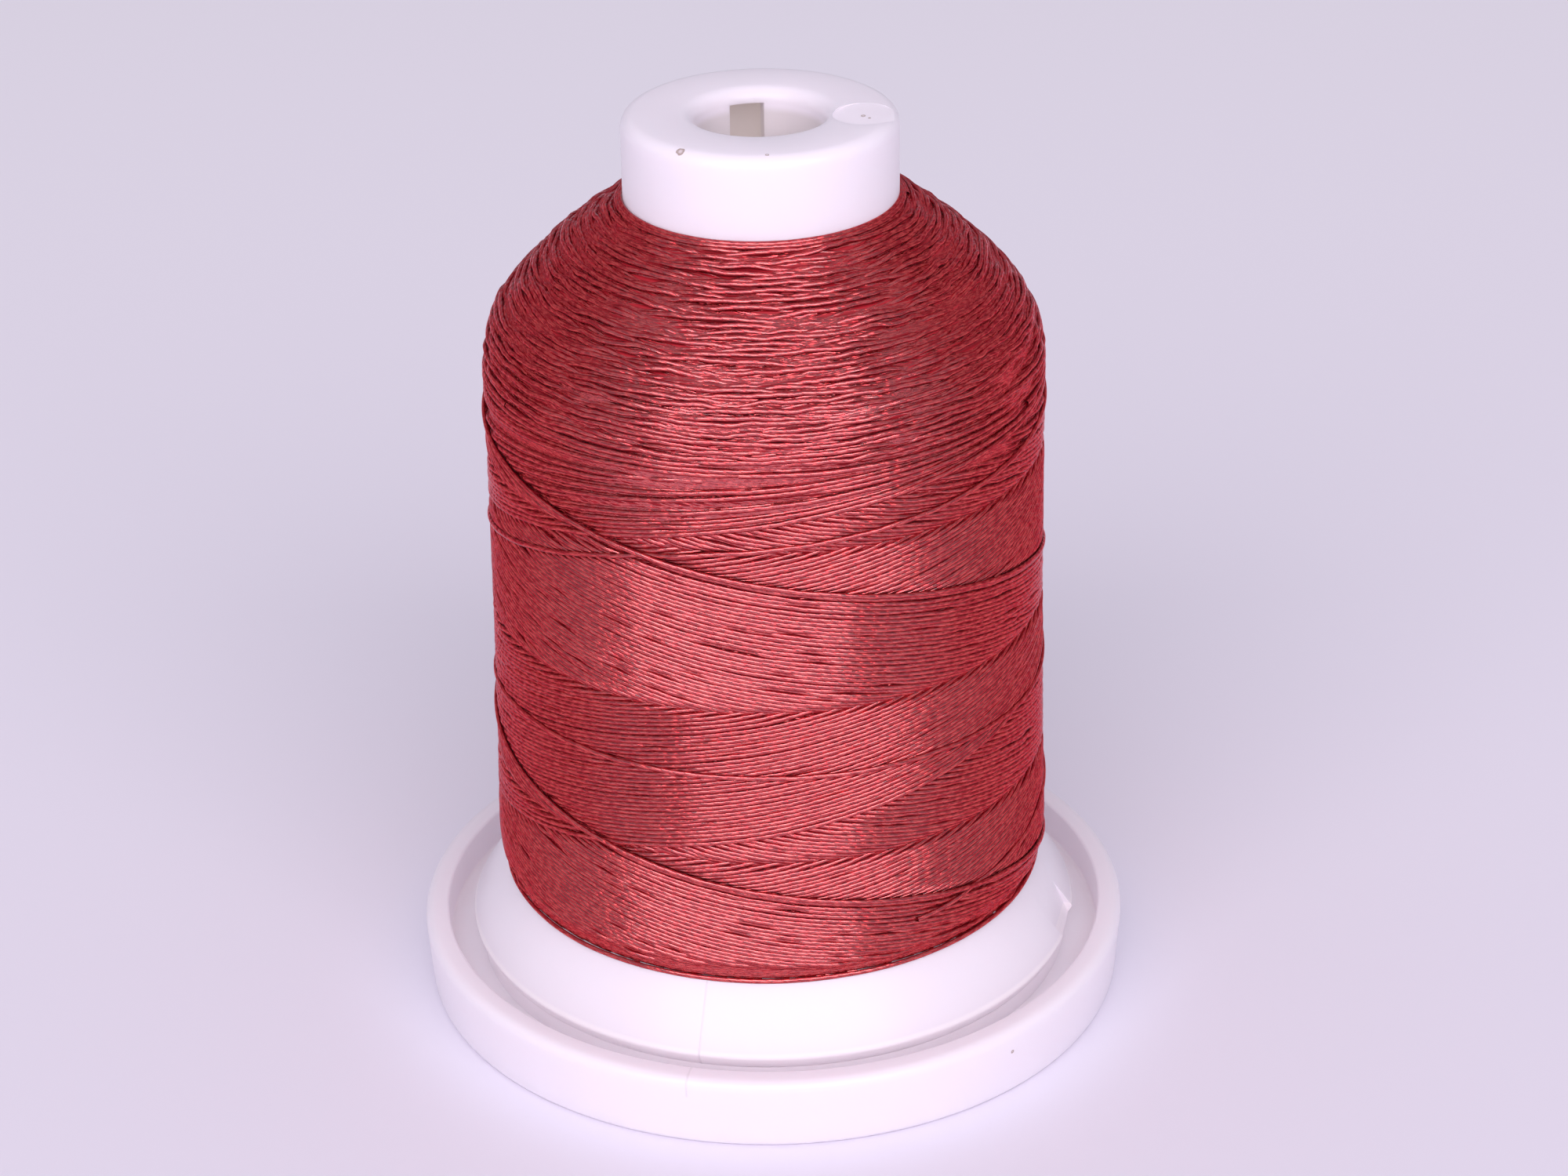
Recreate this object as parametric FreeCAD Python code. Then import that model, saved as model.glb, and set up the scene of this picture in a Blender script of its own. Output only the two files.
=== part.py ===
import FreeCAD, Part
import os
from math import ceil, cos, pi, radians, sin, sqrt, tan

# Driving dimensions, in millimetres and degrees.
# The axis of the spool is Z, and the base stands on the plane Z = 0.

# Snap base: dish, rim and foot
rim_radius = 23.05
rim_height = 4.8
rim_wall = 1.58
rim_draft = 4.0
rim_outer_rounding = 0.7
rim_inner_rounding = 0.2
foot_rounding = 0.35
foot_ring_width = 3.6
foot_recess = 2.0
groove_floor_height = 2.4
seat_height = 3.55
seat_setback = 0.54
pin_hole_radius = 4.2
pin_boss_wall = 1.6
pin_boss_foot_gap = 0.4

# Snap base: slit spigot with spring fingers
spigot_clearance = 0.08
spigot_wall = 1.2
finger_count = 4
slit_width = 2.0
slit_floor_height = 7.5
hook_overhang = 0.45
hook_height = 0.8
hook_lead_in = 1.8
hook_tip_inset = 0.35
hook_play = 0.05
base_travel = 4.5

# Spool body: flange
thread_groove_width = 1.63
lip_height = 4.45
lip_rounding = 0.45
skirt_angle = 57.3
skirt_wall = 1.3
skirt_width = 2.94
shoulder_rounding = 0.4

# Spool body: barrel, whose top end is the collar
overall_height = 58.9
barrel_radius = 8.36
barrel_wall = 1.1
collar_rounding = 0.8
web_thickness = 1.5

# Spool body: hub tube for the spool pin, with its two windows
bore_radius = 3.93
bore_rounding = 0.9
hub_wall = 1.15
hub_length = 13.0
window_angle = 31.5
window_direction = 101.8
window_top_depth = 0.9
window_sill = 1.6

# Spool body: guide sleeve and ribs for the spigot
guide_radius = 6.6
sleeve_foot_height = 3.9
ledge_height = 14.5
rib_side_clearance = 0.15
rib_depth = 0.9
rib_foot_gap = 0.5

# Spool body: gate mark on the collar and thread-catch notch in the lip
mould_direction = -13.4
gate_radius = 1.75
gate_depth = 0.25
gate_place = 6.3
notch_width = 3.8
notch_top_height = 6.6
notch_lip_inset = 0.6
notch_skew = 12.0

# Winding, whose side is a hollow arc from heel to top; its core has so many straight runs in its
# heel, side, shoulder and crown
winding_clearance = 0.08
winding_foot_height = 8.24
winding_heel_inset = 2.0
winding_heel_height = 11.1
winding_waist_inset = 0.39
winding_top_inset = 0.51
winding_top_height = 43.4
winding_shoulder_rounding = 6.5
winding_shoulder_turn = 45.0
winding_end_height = 53.9
winding_runs = (2, 2, 3, 4)
strand_diameter = 0.27
strand_lift = 0.12
strand_end_margin = 0.8
turn_count = 7

# How long one straight run of a rounded corner is, about, and how far a cut runs past what it cuts
rounding_run = 0.55
cut_overshoot = 1.0

axis = FreeCAD.Vector(0, 0, 1)
origin = FreeCAD.Vector(0, 0, 0)

# Sizes that follow from the driving ones
rim_inner_radius = rim_radius - rim_wall
lip_radius = rim_inner_radius - thread_groove_width
seat_radius = lip_radius - seat_setback
shoulder_radius = lip_radius - skirt_width
foot_radius = rim_radius - rim_height * tan(radians(rim_draft))
spigot_radius = guide_radius - spigot_clearance
spigot_bore_radius = spigot_radius - spigot_wall
hook_radius = spigot_radius + hook_overhang
hook_foot_height = ledge_height + base_travel + hook_play
hook_top_height = hook_foot_height + hook_height
spigot_top_height = hook_top_height + hook_lead_in
skirt_slope = tan(radians(skirt_angle))
flange_height = lip_height + skirt_width * skirt_slope
barrel_bore_radius = barrel_radius - barrel_wall
hub_radius = bore_radius + hub_wall
hub_foot_height = overall_height - hub_length
web_height = overall_height - web_thickness
winding_heel_radius = lip_radius - winding_heel_inset
winding_waist_radius = winding_heel_radius - winding_waist_inset
winding_top_radius = winding_heel_radius - winding_top_inset


def at(radius, height, angle=0.0):
    """A point given by its distance from the axis, its height and its direction in degrees."""
    turn = radians(angle)
    return FreeCAD.Vector(radius * cos(turn), radius * sin(turn), height)


def loop(items):
    """Each item of a closed row with the one after it."""
    return zip(items, items[1:] + items[:1])


def eased(before, corner, after, rounding):
    """Points along a corner's rounding, a few straight runs that touch both of its sides."""
    back = (before - corner).normalize()
    ahead = (after - corner).normalize()
    half = back.getAngle(ahead) / 2
    centre = corner + (back + ahead).normalize() * (rounding / sin(half))
    start = corner + back * (rounding / tan(half)) - centre
    end = corner + ahead * (rounding / tan(half)) - centre
    sweep = start.getAngle(end)
    runs = max(1, round(rounding * sweep / rounding_run))
    points = []
    for n in range(runs + 1):
        turn = sweep * n / runs
        points.append(centre + (start * sin(sweep - turn) + end * sin(turn)) * (1 / sin(sweep)))
    return points


def turned(corners):
    """The solid turned from a half section: (radius, height) corners, with a rounding as third value."""
    points = [at(corner[0], corner[1]) for corner in corners]
    outline = []
    for n, corner in enumerate(corners):
        if len(corner) == 3:
            outline += eased(points[n - 1], points[n], points[(n + 1) % len(points)], corner[2])
        else:
            outline.append(points[n])
    edges = [Part.LineSegment(a, b).toShape() for a, b in loop(outline)]
    return Part.Face(Part.Wire(edges)).revolve(origin, axis, 360)


def ringed(points):
    """The closed solid whose skin runs straight from ring to ring, through a closed row of points."""
    rings = [Part.Circle(at(0, point.z), axis, point.x).toShape() for point in points]
    faces = []
    for (low, low_ring), (high, high_ring) in loop(list(zip(points, rings))):
        if low.z == high.z:
            flat = Part.makeFace([Part.Wire(low_ring), Part.Wire(high_ring)], "Part::FaceMakerBullseye")
            faces.append(flat)
        else:
            faces.append(Part.makeRuledSurface(low_ring, high_ring))
    shell = Part.makeShell(faces)
    shell.sewShape()
    solid = Part.Solid(shell)
    if solid.Volume < 0:
        solid.reverse()
    return solid


def bar(inner, outer, width, bottom, top, angle):
    """A radial bar: from one radius to another, centred on a direction."""
    block = Part.makeBox(outer - inner, width, top - bottom, FreeCAD.Vector(inner, -width / 2, bottom))
    return turned_by(block, angle)


def turned_by(shape, angle):
    """A copy of a shape turned about the spool's axis."""
    copy = shape.copy()
    copy.rotate(origin, axis, angle)
    return copy


def finger_angle(number):
    """Direction of a slit between fingers, and of the rib that runs in it."""
    return mould_direction + 360 * number / finger_count


def skirt_radius_at(height):
    """Outer radius of the flange's conical skirt."""
    return lip_radius - (height - lip_height) / skirt_slope


# Snap base

def dish():
    """Foot ring, floor and upturned rim, with the boss round the pin hole."""
    recess_radius = foot_radius - foot_ring_width
    boss_radius = pin_hole_radius + pin_boss_wall
    return turned([
        (pin_hole_radius, pin_boss_foot_gap),
        (boss_radius, pin_boss_foot_gap),
        (boss_radius, foot_recess),
        (recess_radius, foot_recess),
        (recess_radius, 0.0),
        (foot_radius, 0.0, foot_rounding),
        (rim_radius, rim_height, rim_outer_rounding),
        (rim_inner_radius, rim_height, rim_inner_rounding),
        (rim_inner_radius, groove_floor_height),
        (seat_radius, groove_floor_height),
        (seat_radius, seat_height),
        (pin_hole_radius, seat_height),
    ])


def spigot():
    """Tube that slides in the guide sleeve, slit into fingers that end in hooks."""
    tube = turned([
        (spigot_bore_radius, foot_recess),
        (spigot_radius, foot_recess),
        (spigot_radius, hook_foot_height),
        (hook_radius, hook_foot_height),
        (hook_radius, hook_top_height),
        (spigot_radius - hook_tip_inset, spigot_top_height),
        (spigot_bore_radius, spigot_top_height),
    ])
    reach = hook_radius + cut_overshoot
    top = spigot_top_height + cut_overshoot
    slits = [bar(0, reach, slit_width, slit_floor_height, top, finger_angle(n)) for n in range(finger_count)]
    return tube.cut(slits)


def snap_base():
    return dish().fuse(spigot()).removeSplitter()


# Spool body

def body_shell():
    """Collar, barrel, flange, guide sleeve and hub tube as one turned wall."""
    ceiling_height = flange_height - skirt_wall
    wall_shift = skirt_wall / sin(radians(skirt_angle))
    return turned([
        (bore_radius, overall_height, bore_rounding),
        (barrel_radius, overall_height, collar_rounding),
        (barrel_radius, flange_height),
        (shoulder_radius, flange_height, shoulder_rounding),
        (lip_radius, lip_height),
        (lip_radius, seat_height, lip_rounding),
        (skirt_radius_at(seat_height) - wall_shift, seat_height),
        (skirt_radius_at(ceiling_height) - wall_shift, ceiling_height),
        (barrel_radius, ceiling_height),
        (barrel_radius, sleeve_foot_height),
        (guide_radius, sleeve_foot_height),
        (guide_radius, ledge_height),
        (barrel_bore_radius, ledge_height),
        (barrel_bore_radius, web_height),
        (hub_radius, web_height),
        (hub_radius, hub_foot_height),
        (bore_radius, hub_foot_height),
    ])


def guide_ribs():
    """Ribs in the sleeve that run in the spigot's slits, so that the base slides but doesn't turn."""
    width = slit_width - 2 * rib_side_clearance
    foot = slit_floor_height + rib_foot_gap
    root = (guide_radius + barrel_radius) / 2
    return [
        bar(guide_radius - rib_depth, root, width, foot, ledge_height, finger_angle(n))
        for n in range(finger_count)
    ]


def hub_windows():
    """Two opposite windows in the hub tube's wall, below the rounded mouth."""
    foot = hub_foot_height + window_sill
    top = overall_height - window_top_depth
    reach = (hub_radius + barrel_bore_radius) / 2
    sector = Part.makeCylinder(reach, top - foot, at(0, foot), axis, window_angle)
    first = window_direction - window_angle / 2
    return [turned_by(sector, first), turned_by(sector, first + 180)]


def gate_dimple():
    """Shallow round recess on the collar where the moulding's gate was."""
    place = at(gate_place, overall_height - gate_depth, mould_direction)
    return Part.makeCylinder(gate_radius, gate_depth + cut_overshoot, place)


def catch_notch():
    """Slanting facet cut into the lip, where the thread's end is led down to the groove."""
    top_radius = skirt_radius_at(notch_top_height)
    foot_height = seat_height - cut_overshoot
    flare = (lip_radius - notch_lip_inset - top_radius) / (notch_top_height - lip_height)
    foot = top_radius + (notch_top_height - foot_height) * flare
    outer = lip_radius + cut_overshoot
    top_height = notch_top_height
    outline = [(top_radius, top_height), (foot, foot_height), (outer, foot_height), (outer, top_height)]
    points = [FreeCAD.Vector(radius, -notch_width / 2, height) for radius, height in outline]
    cutter = Part.Face(Part.makePolygon(points + points[:1])).extrude(FreeCAD.Vector(0, notch_width, 0))
    outward = FreeCAD.Vector(1, 0, flare)
    cutter.rotate((points[0] + points[1]) * 0.5, outward, notch_skew)
    return turned_by(cutter, mould_direction)


def spool_body():
    body = body_shell().fuse(guide_ribs()).removeSplitter()
    return body.cut(hub_windows() + [gate_dimple(), catch_notch()])


# Winding

def arc_middle(start, direction, end):
    """Middle point of the arc that leaves start in this direction and reaches end."""
    chord = end - start
    half_chord = chord.Length / 2
    along = chord * (1 / chord.Length)
    swing = direction.getAngle(along)
    sideways = direction - along * direction.dot(along)
    if sideways.Length < 1e-9:
        return start + along * half_chord
    return start + along * half_chord + sideways.normalize() * (half_chord * tan(swing / 2))


def winding_outline(depth):
    """Half outline of the winding this far under its surface: heel, side, shoulder and crown arcs."""
    foot_height = winding_foot_height + depth * skirt_slope
    foot = at(skirt_radius_at(foot_height), foot_height)
    heel_top = at(winding_heel_radius - depth, winding_heel_height)
    waist = at(winding_waist_radius - depth, (winding_heel_height + winding_top_height) / 2)
    side_top = at(winding_top_radius - depth, winding_top_height)
    side = Part.Arc(heel_top, waist, side_top)
    downward = side.tangent(side.FirstParameter)[0] * -1
    heel = Part.Arc(foot, arc_middle(heel_top, downward, foot), heel_top)
    bend = winding_shoulder_rounding - depth
    bend_centre = at(side_top.x - bend, winding_top_height)
    turn = radians(winding_shoulder_turn)
    shoulder_end = bend_centre + FreeCAD.Vector(bend * cos(turn), 0, bend * sin(turn))
    shoulder_middle = bend_centre + FreeCAD.Vector(bend * cos(turn / 2), 0, bend * sin(turn / 2))
    shoulder = Part.Arc(side_top, shoulder_middle, shoulder_end)
    slope_at_end = FreeCAD.Vector(-sin(turn), 0, cos(turn))
    end = at(barrel_radius + winding_clearance, winding_end_height - depth / cos(turn))
    crown = Part.Arc(shoulder_end, arc_middle(shoulder_end, slope_at_end, end), end)
    return [curve.toShape() for curve in (heel, side, shoulder, crown)]


def thread_core():
    """Wound package under its outer layer, seated on the flange and round the barrel."""
    points = []
    for edge, runs in zip(winding_outline(strand_diameter + strand_lift), winding_runs):
        points += edge.discretize(Number=runs + 1)[:-1]
    top = edge.valueAt(edge.LastParameter)
    slant = winding_clearance / sin(radians(skirt_angle))
    points[0].x += slant
    floor = flange_height + winding_clearance
    seat = [top, at(top.x, floor), at(skirt_radius_at(floor) + slant, floor)]
    return ringed(points + seat)


def point_on(edges, distance):
    """Point and upward direction at a distance along a chain of edges."""
    for edge in edges:
        if distance <= edge.Length or edge is edges[-1]:
            place = edge.getParameterByLength(min(distance, edge.Length))
            return edge.valueAt(place), edge.tangentAt(place)
        distance -= edge.Length


def turn_stations():
    """Points and directions of the outer strand at every quarter of a turn."""
    outline = winding_outline(strand_diameter / 2)
    start = strand_end_margin
    finish = sum(edge.Length for edge in outline) - strand_end_margin
    quarters = 4 * turn_count
    rise = (finish - start) / (turn_count * 2 * pi)
    stations = []
    for quarter in range(quarters + 1):
        place, upward = point_on(outline, start + (finish - start) * quarter / quarters)
        angle = 90.0 * quarter
        point = at(place.x, place.z, angle)
        along = at(upward.x, upward.z, angle) * rise
        around = at(place.x, 0, angle + 90)
        stations.append((point, (along + around).normalize()))
    return stations


def biarc(start, start_way, end, end_way):
    """Two arcs that join two points and have the given directions there."""
    gap = end - start
    ways = start_way + end_way
    a = 2 * (1 - start_way.dot(end_way))
    b = 2 * gap.dot(ways)
    c = -gap.dot(gap)
    reach = (-b + sqrt(b * b - 4 * a * c)) / (2 * a)
    joint = (start + start_way * reach + end - end_way * reach) * 0.5
    first = Part.Arc(start, arc_middle(start, start_way, joint), joint)
    second = Part.Arc(joint, arc_middle(end, end_way * -1, joint), end)
    return [first.toShape(), second.toShape()]


def thread_turns():
    """Outer turns of the thread as one unbroken strand, with a straight end at each side."""
    stations = turn_stations()
    first, first_way = stations[0]
    last, last_way = stations[-1]
    edges = [Part.LineSegment(first - first_way * strand_diameter, first).toShape()]
    for (start, start_way), (end, end_way) in zip(stations, stations[1:]):
        edges += biarc(start, start_way, end, end_way)
    edges.append(Part.LineSegment(last, last + last_way * strand_diameter).toShape())
    path = Part.Wire(edges)
    side = strand_diameter / 2 * sqrt(pi)
    middle = first - first_way * strand_diameter
    outward = at(middle.x, 0) - first_way * at(middle.x, 0).dot(first_way)
    outward.normalize()
    across = first_way.cross(outward)
    corners = [(1, 1), (1, -1), (-1, -1), (-1, 1)]
    points = [middle + outward * (u * side / 2) + across * (v * side / 2) for u, v in corners]
    section = Part.makePolygon(points + points[:1])
    strand = path.makePipeShell([section], True, False)
    report_turns(path, strand, side)
    return strand


def report_turns(path, strand, side):
    """Print the least gap between neighbouring turns, and compare volume with section times length."""
    per_turn = 48
    count = ceil(turn_count * per_turn)
    points = path.discretize(Number=count + 1)
    least = min(
        (points[i] - points[j]).Length
        for i in range(count + 1)
        for j in range(i + per_turn // 2, min(count + 1, i + 2 * per_turn))
    )
    print(f"strand: length {path.Length:.1f} mm, least gap to itself {least - strand_diameter:.2f} mm")
    print(f"strand: volume {strand.Volume:.2f} mm3, section times length {side * side * path.Length:.2f} mm3")


parts = {
    "snap_base": snap_base,
    "spool_body": spool_body,
    "thread_core": thread_core,
    "thread_turns": thread_turns,
}

os.makedirs("parts", exist_ok=True)
for name, make in parts.items():
    shape = make()
    print(f"{name}: solids {len(shape.Solids)}, valid {shape.isValid()}, volume {shape.Volume / 1000:.3f} cm3")
    shape.exportStep(f"parts/{name}.step")
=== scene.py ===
# %% [markdown]
# # A spool of embroidery thread
#
# The spool has two white mouldings, a body and a snap-on base, and one long red thread wound on the
# body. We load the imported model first, because it fixes where everything is. Each new piece is
# dressed round it, rides on one of its bodies, and stays inside its box.

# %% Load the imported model
import math

import bmesh
import bpy
import numpy as np
from mathutils import Matrix, Vector


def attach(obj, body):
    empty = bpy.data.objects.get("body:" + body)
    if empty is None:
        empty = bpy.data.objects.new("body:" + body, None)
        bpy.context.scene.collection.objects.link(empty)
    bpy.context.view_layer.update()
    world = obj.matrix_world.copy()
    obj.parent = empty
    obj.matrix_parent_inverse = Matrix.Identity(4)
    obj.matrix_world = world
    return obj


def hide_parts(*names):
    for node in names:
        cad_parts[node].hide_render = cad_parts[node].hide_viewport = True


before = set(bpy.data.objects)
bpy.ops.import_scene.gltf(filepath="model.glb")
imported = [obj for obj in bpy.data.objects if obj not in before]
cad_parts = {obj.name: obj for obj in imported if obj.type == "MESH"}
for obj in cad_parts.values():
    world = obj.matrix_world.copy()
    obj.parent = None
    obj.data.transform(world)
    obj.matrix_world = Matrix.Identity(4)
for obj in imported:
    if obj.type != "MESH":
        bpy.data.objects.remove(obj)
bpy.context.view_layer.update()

MM = 0.001

# %% [markdown]
# ## Camera
#
# A camera in Blender looks along its own -Z axis. It could be aimed by a constraint that follows an
# empty, but a matrix made of one place and three turns says plainly where it is: about 24 cm from the
# spool, looking down by 27 degrees, and leaning over by less than one degree.

# %% Place the camera
def aimed(place, pitch, yaw, roll):
    """Matrix of a camera or lamp that looks along +Y, turned down, to the left and about its own view."""
    turn = Matrix.Rotation(math.radians(yaw), 4, "Z") @ Matrix.Rotation(math.radians(90 - pitch), 4, "X")
    return Matrix.Translation(Vector(place) * MM) @ turn @ Matrix.Rotation(math.radians(roll), 4, "Z")


camera = bpy.data.objects.new("camera", bpy.data.cameras.new("camera"))
bpy.context.scene.collection.objects.link(camera)
camera.data.sensor_width = 36.0
camera.data.lens = 82.31
camera.data.clip_start = 0.01
camera.matrix_world = aimed(place=(0.347, -203.352, 130.443), pitch=26.977, yaw=-0.189, roll=-0.884)
bpy.context.scene.camera = camera
print("camera at", [round(v, 4) for v in camera.matrix_world.translation])

# %% [markdown]
# ## Shader helper
#
# Materials are written as Python expressions. One small class wraps a socket, so that a + b or 1 - a
# adds the Math node that works it out, and one method adds any other node.

# %% Wrap a node's socket
class Wire:
    """An output socket that arithmetic works on."""

    def __init__(self, tree, socket):
        self.tree = tree
        self.socket = socket

    def node(self, kind, output=0, settings=(), **values):
        """Add a node: settings are its own properties, values are its sockets by name or place."""
        made = self.tree.nodes.new(kind)
        for name, value in dict(settings).items():
            setattr(made, name, value)
        for name, value in values.items():
            by_place = name.startswith("_")
            socket = made.inputs[int(name[1:]) if by_place else name.replace("_", " ")]
            if isinstance(value, Wire):
                self.tree.links.new(value.socket, socket)
            else:
                socket.default_value = value
        return Wire(self.tree, made.outputs[output])

    def maths(self, operation, *terms):
        """Add a Math node that works on the given terms."""
        values = {f"_{place}": term for place, term in enumerate(terms)}
        return self.node("ShaderNodeMath", settings={"operation": operation}, **values)

    def __add__(self, other):
        return self.maths("ADD", self, other)

    def __radd__(self, other):
        return self.maths("ADD", other, self)

    def __sub__(self, other):
        return self.maths("SUBTRACT", self, other)

    def __rsub__(self, other):
        return self.maths("SUBTRACT", other, self)

    def __mul__(self, other):
        return self.maths("MULTIPLY", self, other)

    def __rmul__(self, other):
        return self.maths("MULTIPLY", other, self)

    def __truediv__(self, other):
        return self.maths("DIVIDE", self, other)

    def __pow__(self, other):
        return self.maths("POWER", self, other)

    def __abs__(self):
        return self.maths("ABSOLUTE", self)

    def step(self, low, high):
        """0 below low, 1 above high, and a smooth rise between them."""
        return self.node("ShaderNodeMapRange", settings={"interpolation_type": "SMOOTHSTEP"},
                         _0=self, _1=low, _2=high, _3=0.0, _4=1.0)

    def mix(self, first, second):
        """A colour that goes from the first to the second as this value goes from 0 to 1."""
        return self.node("ShaderNodeMix", 2, {"data_type": "RGBA"}, _0=self, _6=first, _7=second)

    def axes(self):
        """The three values of a vector."""
        parts = self.node("ShaderNodeSeparateXYZ", _0=self)
        return [Wire(self.tree, socket) for socket in parts.socket.node.outputs]

    def noise(self, scale, detail=2.0):
        """Cloudy values round 0.5. A scale of 100 gives clouds of about 1 cm."""
        return self.node("ShaderNodeTexNoise", Vector=self, Scale=scale, Detail=detail)

    def bump(self, distance, strength):
        """A normal that follows this height. The distance is in metres."""
        return self.node("ShaderNodeBump", Height=self, Distance=distance, Strength=strength)


print("socket wrapper ready")

# %% Start a material and feed its shader
def finish(name, **values):
    """A material with one Principled shader, whose fixed sockets are set by name, and its place wire."""
    material = bpy.data.materials.new(name)
    material.use_nodes = True
    tree = material.node_tree
    shader = tree.nodes["Principled BSDF"]
    for socket, value in values.items():
        shader.inputs[socket.replace("_", " ")].default_value = value
    start = tree.nodes.new("ShaderNodeTexCoord")
    return material, shader, Wire(tree, start.outputs["Object"])


def feed(shader, **wires):
    """Link wires into the shader's sockets by name."""
    for socket, wire in wires.items():
        wire.tree.links.new(wire.socket, shader.inputs[socket.replace("_", " ")])


print("shader helper ready")

# %% [markdown]
# ## Floor and light
#
# The spool stands on a wide, pale lavender sheet. Several small lamps would each leave a streak on the
# thread, so one big soft lamp behind the camera gives it a single upright band of gloss. The pale sky
# lights the rest, which keeps the shadows faint.

# %% Floor
NEAR_SHEET = (0.83, 0.81, 0.90, 1)
FAR_SHEET = (0.98, 0.965, 1.0, 1)


def floor():
    """The sheet that the spool stands on. It gets paler towards the back."""
    sheet = bmesh.new()
    bmesh.ops.create_grid(sheet, x_segments=1, y_segments=1, size=3.0)
    mesh = bpy.data.meshes.new("floor")
    sheet.to_mesh(mesh)
    sheet.free()
    piece = bpy.data.objects.new("floor", mesh)
    bpy.context.scene.collection.objects.link(piece)
    material, shader, place = finish("floor", Roughness=0.6, Specular_IOR_Level=0.1)
    far = place.axes()[1].step(-0.12, 0.35)
    feed(shader, Base_Color=far.mix(NEAR_SHEET, FAR_SHEET))
    mesh.materials.append(material)
    return piece


print("floor:", floor().name)

# %% Lamp and sky
HORIZON = (0.36, 0.35, 0.40, 1)
OVERHEAD = (0.55, 0.53, 0.62, 1)


def lamp(name, place, pitch, size, power, colour):
    """A soft box of a size in metres at a place in mm, turned down by its pitch."""
    data = bpy.data.lights.new(name, "AREA")
    data.shape = "RECTANGLE"
    data.size, data.size_y = size
    data.energy = power
    data.color = colour
    piece = bpy.data.objects.new(name, data)
    bpy.context.scene.collection.objects.link(piece)
    piece.matrix_world = aimed(place, pitch, 0, 0)
    return piece


lamp("front window", place=(0, -720, 560), pitch=38, size=(1.5, 0.6), power=8.5, colour=(1.0, 0.89, 0.965))
sky = bpy.data.worlds.new("sky")
bpy.context.scene.world = sky
sky.use_nodes = True
dome = sky.node_tree.nodes["Background"]
dome.inputs["Strength"].default_value = 1.0
towards = sky.node_tree.nodes.new("ShaderNodeTexCoord")
height = Wire(sky.node_tree, towards.outputs["Generated"]).axes()[2]
upper = height.maths("MAXIMUM", height, 0.0) ** 2
sky.node_tree.links.new(upper.mix(HORIZON, OVERHEAD).socket, dome.inputs["Color"])
bpy.context.scene.view_settings.view_transform = "Standard"

# %% [markdown]
# ## Turned mouldings
#
# Both white parts are round, so each starts as half its section and is spun about the axis. Stacked
# cylinders would need joining, while one spun section is closed from the start. The corners are then
# bevelled ring by ring, with the radius that the real mould has there, and windows and slits are
# carved out by booleans, because those cuts aren't round about the axis.

# %% Spin a section and round its rings
AROUND = 320
WELD = 1e-7
SHARP = math.radians(32)


def piece_from(name, shape):
    """A linked object from a bmesh, smooth except at sharp corners."""
    mesh = bpy.data.meshes.new(name)
    shape.to_mesh(mesh)
    shape.free()
    mesh.shade_smooth()
    mesh.set_sharp_from_angle(angle=SHARP)
    piece = bpy.data.objects.new(name, mesh)
    bpy.context.scene.collection.objects.link(piece)
    return piece


def revolve(shape, corners, steps):
    """Spin a closed outline of (radius, height) corners in mm about the upright axis."""
    dots = [shape.verts.new((corner[0] * MM, 0, corner[1] * MM)) for corner in corners]
    edges = [shape.edges.new(pair) for pair in zip(dots, dots[1:] + dots[:1])]
    bmesh.ops.spin(shape, geom=dots + edges, cent=(0, 0, 0), axis=(0, 0, 1), angle=math.tau,
                   steps=steps, use_merge=True)
    bmesh.ops.remove_doubles(shape, verts=shape.verts, dist=WELD)


def on_ring(vert, radius, height):
    """Whether a vertex lies on the ring that a corner has made."""
    near = 1e-3
    return abs(math.hypot(*vert.co.xy) / MM - radius) < near and abs(vert.co.z / MM - height) < near


def spun(name, corners):
    """A closed solid from (radius, height) corners in mm, with a rounding as third value."""
    shape = bmesh.new()
    revolve(shape, corners, AROUND)
    for radius, height, rounding in (corner for corner in corners if len(corner) == 3):
        ring = [edge for edge in shape.edges if all(on_ring(vert, radius, height) for vert in edge.verts)]
        bmesh.ops.bevel(shape, geom=ring, offset=rounding * MM, offset_type="OFFSET", affect="EDGES",
                        segments=5, profile=0.5, material=-1)
    bmesh.ops.recalc_face_normals(shape, faces=shape.faces)
    return piece_from(name, shape)


print("spinning helpers ready")

# %% Blocks to cut with, and carving
def block(name, size, middle, direction):
    """A block of a size in mm, with its middle at a place in mm, then turned about the spool's axis."""
    shape = bmesh.new()
    bmesh.ops.create_cube(shape, size=MM)
    bmesh.ops.scale(shape, vec=size, verts=shape.verts)
    bmesh.ops.translate(shape, vec=[value * MM for value in middle], verts=shape.verts)
    turn = Matrix.Rotation(math.radians(direction), 3, "Z")
    bmesh.ops.rotate(shape, cent=(0, 0, 0), matrix=turn, verts=shape.verts)
    return piece_from(name, shape)


def carve(piece, cutters):
    """Take the cutters out of a piece, and delete them."""
    for cutter in cutters:
        tool = piece.modifiers.new(cutter.name, "BOOLEAN")
        tool.operation = "DIFFERENCE"
        tool.solver = "EXACT"
        tool.object = cutter
    bpy.context.view_layer.update()
    carved = bpy.data.meshes.new_from_object(piece.evaluated_get(bpy.context.evaluated_depsgraph_get()))
    piece.modifiers.clear()
    piece.data = carved
    carved.shade_smooth()
    carved.set_sharp_from_angle(angle=SHARP)
    for cutter in cutters:
        bpy.data.objects.remove(cutter)


print("carving helpers ready")
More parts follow.
